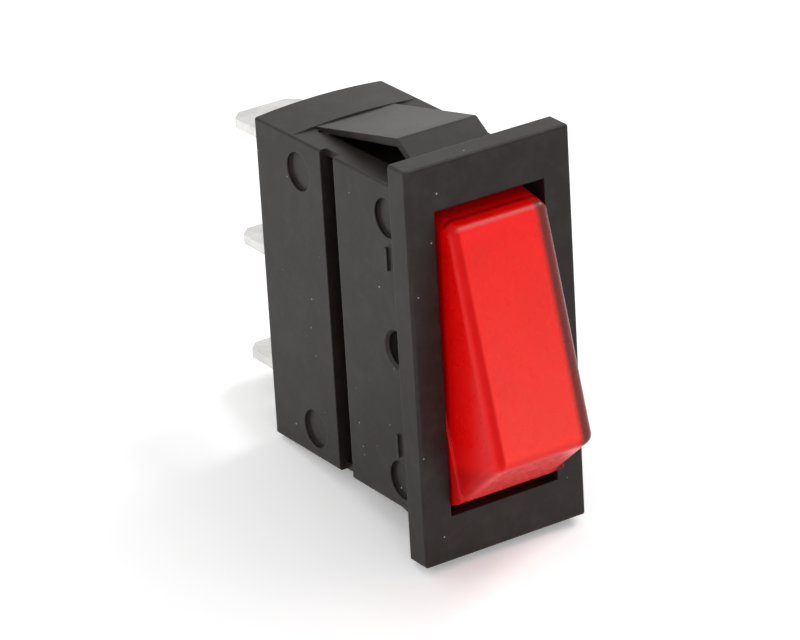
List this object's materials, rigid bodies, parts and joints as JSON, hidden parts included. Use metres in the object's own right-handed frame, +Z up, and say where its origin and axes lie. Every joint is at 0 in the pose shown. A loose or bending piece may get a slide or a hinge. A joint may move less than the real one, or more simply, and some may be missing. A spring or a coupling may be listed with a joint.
{
  "type": "panel rocker switch",
  "caption": "Slim snap-in panel rocker switch: black bezel and body with sprung latches, a lit red rocker, see-saw contact inside and flat push-on tabs at the back.",
  "frame": {"origin": "centre of the bezel's back face, where the panel's front meets it", "axes": "+X right seen from the front, +Y into the panel towards the tabs, +Z up"},
  "size_m": [0.0152, 0.0387, 0.033],
  "materials": {
    "black_nylon": "satin moulded",
    "red_clear": "clear red, polished",
    "carrier": "natural nylon, satin",
    "plunger": "natural acetal, satin",
    "spring_steel": "drawn wire",
    "arm_copper": "rolled copper strip",
    "contact_silver": "silver alloy",
    "tab_tin": "tinned brass sheet",
    "lamp_glass": "clear",
    "lead_wire": "tinned wire",
    "resistor_coat": "lacquered",
    "sleeve": "soft insulating tube"
  },
  "bodies": {
    "base": {"housing": "black_nylon", "fixed_contact": "contact_silver", "terminal_line": "tab_tin", "terminal_load": "tab_tin", "terminal_lamp": "tab_tin", "lamp_bulb": "lamp_glass", "lamp_lead_line": "lead_wire", "lamp_lead_resistor": "lead_wire", "resistor_body": "resistor_coat", "resistor_cap_front": "lead_wire", "resistor_cap_rear": "lead_wire", "resistor_lead": "lead_wire", "lead_sleeve": "sleeve"},
    "rocker": {"rocker_lens": "red_clear", "rocker_carrier": "carrier", "plunger_spring": "spring_steel"},
    "pusher": {"plunger": "plunger"},
    "seesaw": {"contact_arm": "arm_copper", "moving_contact": "contact_silver"}
  },
  "joints": [
    {"name": "rocker_pivot", "type": "hinge", "parent": "base", "child": "rocker", "pos_m": [0, 0.00255, 0], "axis": [1, 0, 0], "range_deg": [0, 30]},
    {"name": "plunger_slide", "type": "slide", "parent": "rocker", "child": "pusher", "axis": [0, -0.9659, 0.2588], "range_m": [0, 0.0008], "stiffness_N_per_m": 1200, "springref_m": -0.001, "deforming": ["plunger_spring"]},
    {"name": "contact_rock", "type": "hinge", "parent": "base", "child": "seesaw", "pos_m": [0, 0.01185, 0], "axis": [1, 0, 0], "range_deg": [-12, 0]}
  ],
  "couplings": [
    {"joint": "contact_rock", "follows": "rocker_pivot", "ratio": -0.4}
  ]
}
